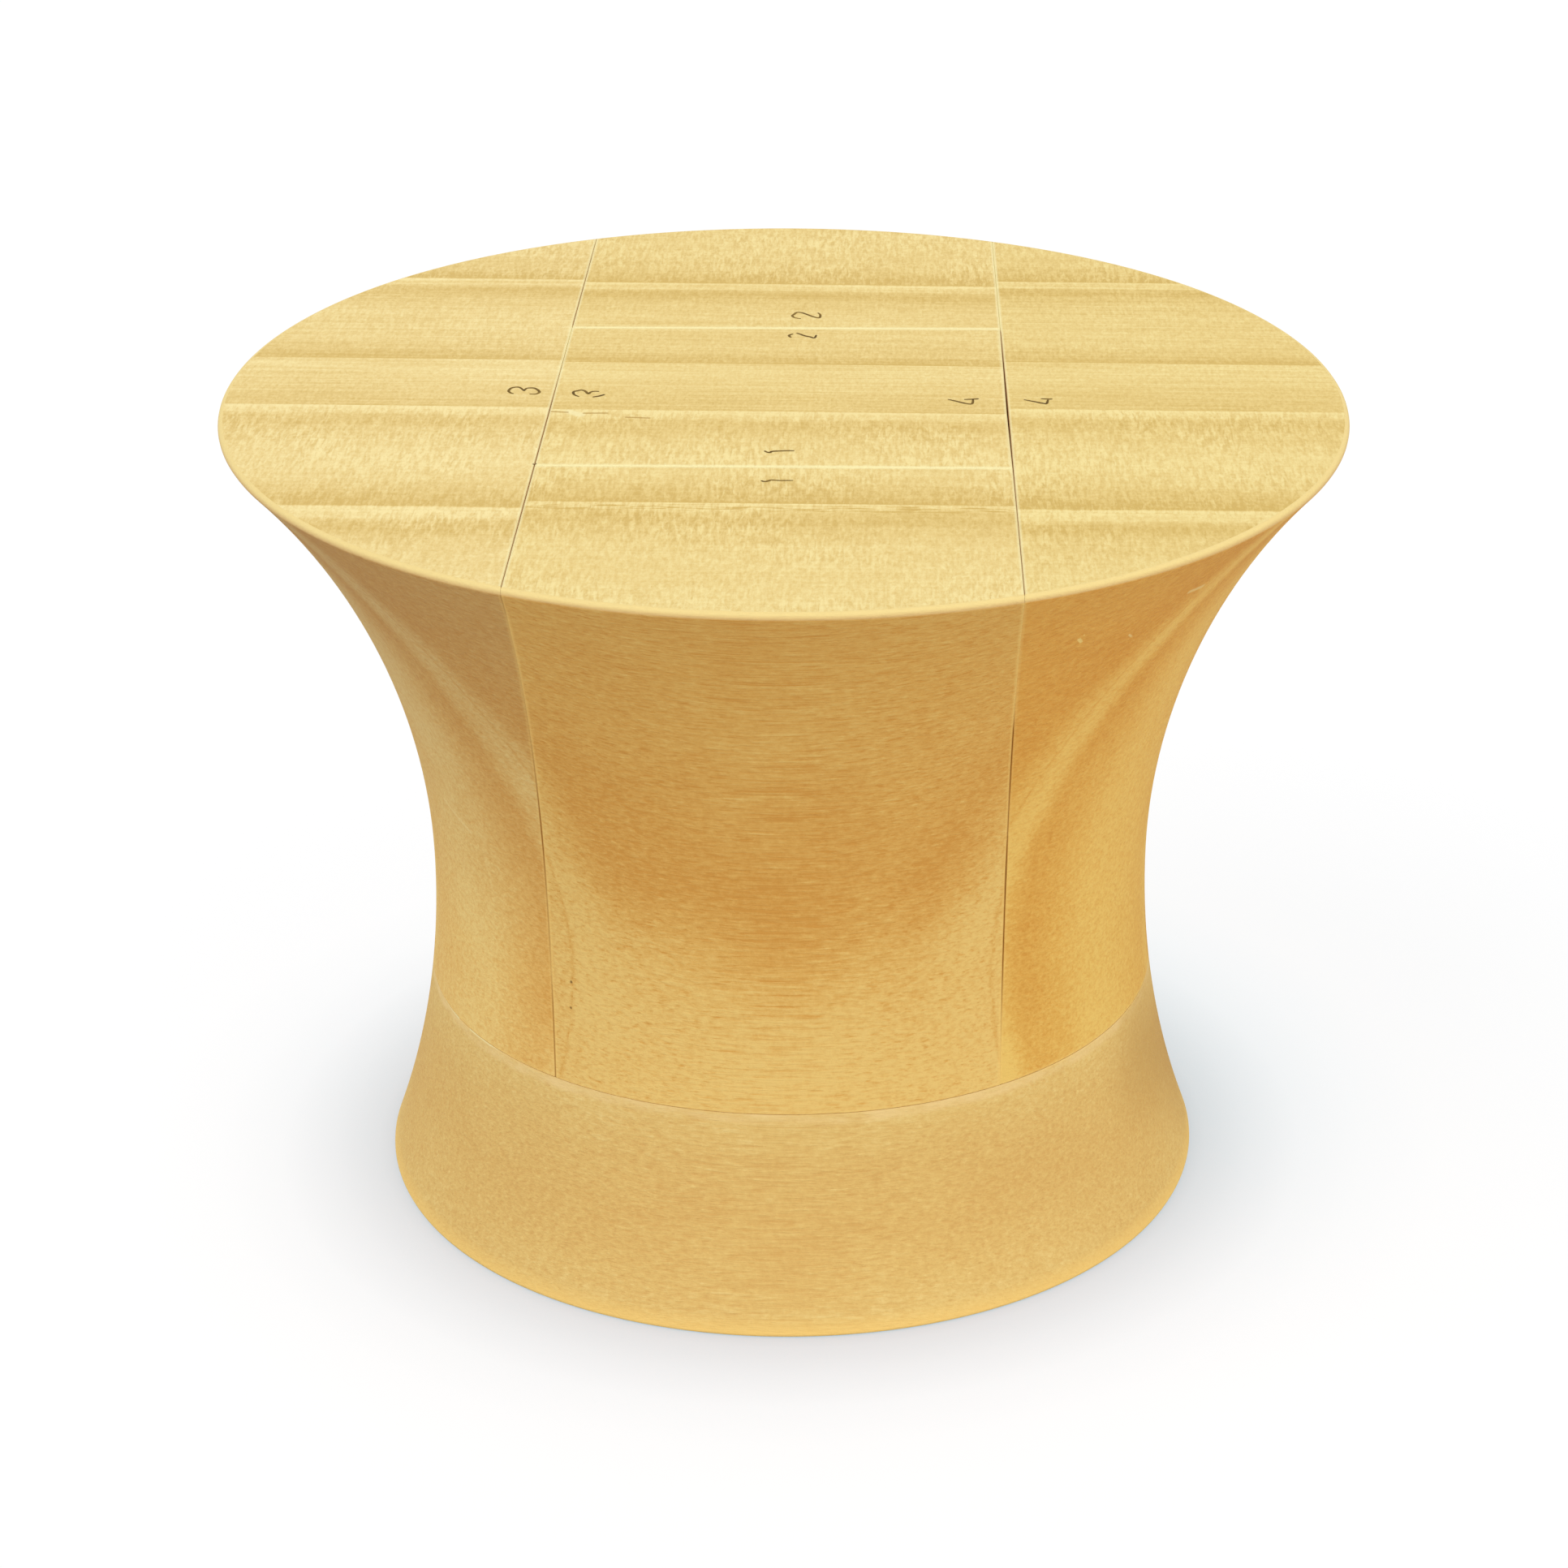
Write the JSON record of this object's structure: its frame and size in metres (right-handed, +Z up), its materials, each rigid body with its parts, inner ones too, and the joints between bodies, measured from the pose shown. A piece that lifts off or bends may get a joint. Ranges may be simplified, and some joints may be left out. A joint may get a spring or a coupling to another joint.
{
  "type": "hat block",
  "caption": "Wooden puzzle block for a flared top-hat crown: an oval flared base with dowels carries a centre key and loose front, back, left and right crown pieces.",
  "frame": {"origin": "middle of the base's underside, on the surface that the block stands on", "axes": "+X along the oval to the right, +Y to the back, +Z up"},
  "size_m": [0.2494, 0.218, 0.1983],
  "materials": {
    "crown_wood": "sanded pale straight-grained wood, unvarnished",
    "base_wood": "sanded pale straight-grained wood, unvarnished",
    "dowel_wood": "turned hardwood dowel",
    "pencil": "soft pencil on bare wood"
  },
  "bodies": {
    "base": {"base_back_board": "base_wood", "base_back_inner_board": "base_wood", "base_middle_board": "base_wood", "base_front_inner_board": "base_wood", "base_front_board": "base_wood", "dowel_key_left": "dowel_wood", "dowel_key_right": "dowel_wood", "dowel_front_left": "dowel_wood", "dowel_front_right": "dowel_wood", "dowel_back_left": "dowel_wood", "dowel_back_right": "dowel_wood", "dowel_left_back": "dowel_wood", "dowel_left_front": "dowel_wood", "dowel_right_back": "dowel_wood", "dowel_right_front": "dowel_wood"},
    "key_piece": {"key_back_board": "crown_wood", "key_middle_board": "crown_wood", "key_front_board": "crown_wood"},
    "front_piece": {"front_inner_board": "crown_wood", "front_outer_board": "crown_wood"},
    "back_piece": {"back_inner_board": "crown_wood", "back_outer_board": "crown_wood"},
    "left_piece": {"left_back_board": "crown_wood", "left_back_inner_board": "crown_wood", "left_middle_board": "crown_wood", "left_front_inner_board": "crown_wood", "left_front_board": "crown_wood"},
    "right_piece": {"right_back_board": "crown_wood", "right_back_inner_board": "crown_wood", "right_middle_board": "crown_wood", "right_front_inner_board": "crown_wood", "right_front_board": "crown_wood"}
  },
  "joints": [
    {"name": "key_lift", "type": "slide", "parent": "base", "child": "key_piece", "axis": [0, 0, 1], "range_m": [0, 0.16]},
    {"name": "front_lift", "type": "slide", "parent": "base", "child": "front_piece", "axis": [0, 0, 1], "range_m": [0, 0.16]},
    {"name": "back_lift", "type": "slide", "parent": "base", "child": "back_piece", "axis": [0, 0, 1], "range_m": [0, 0.16]},
    {"name": "left_lift", "type": "slide", "parent": "base", "child": "left_piece", "axis": [0, 0, 1], "range_m": [0, 0.16]},
    {"name": "right_lift", "type": "slide", "parent": "base", "child": "right_piece", "axis": [0, 0, 1], "range_m": [0, 0.16]}
  ]
}
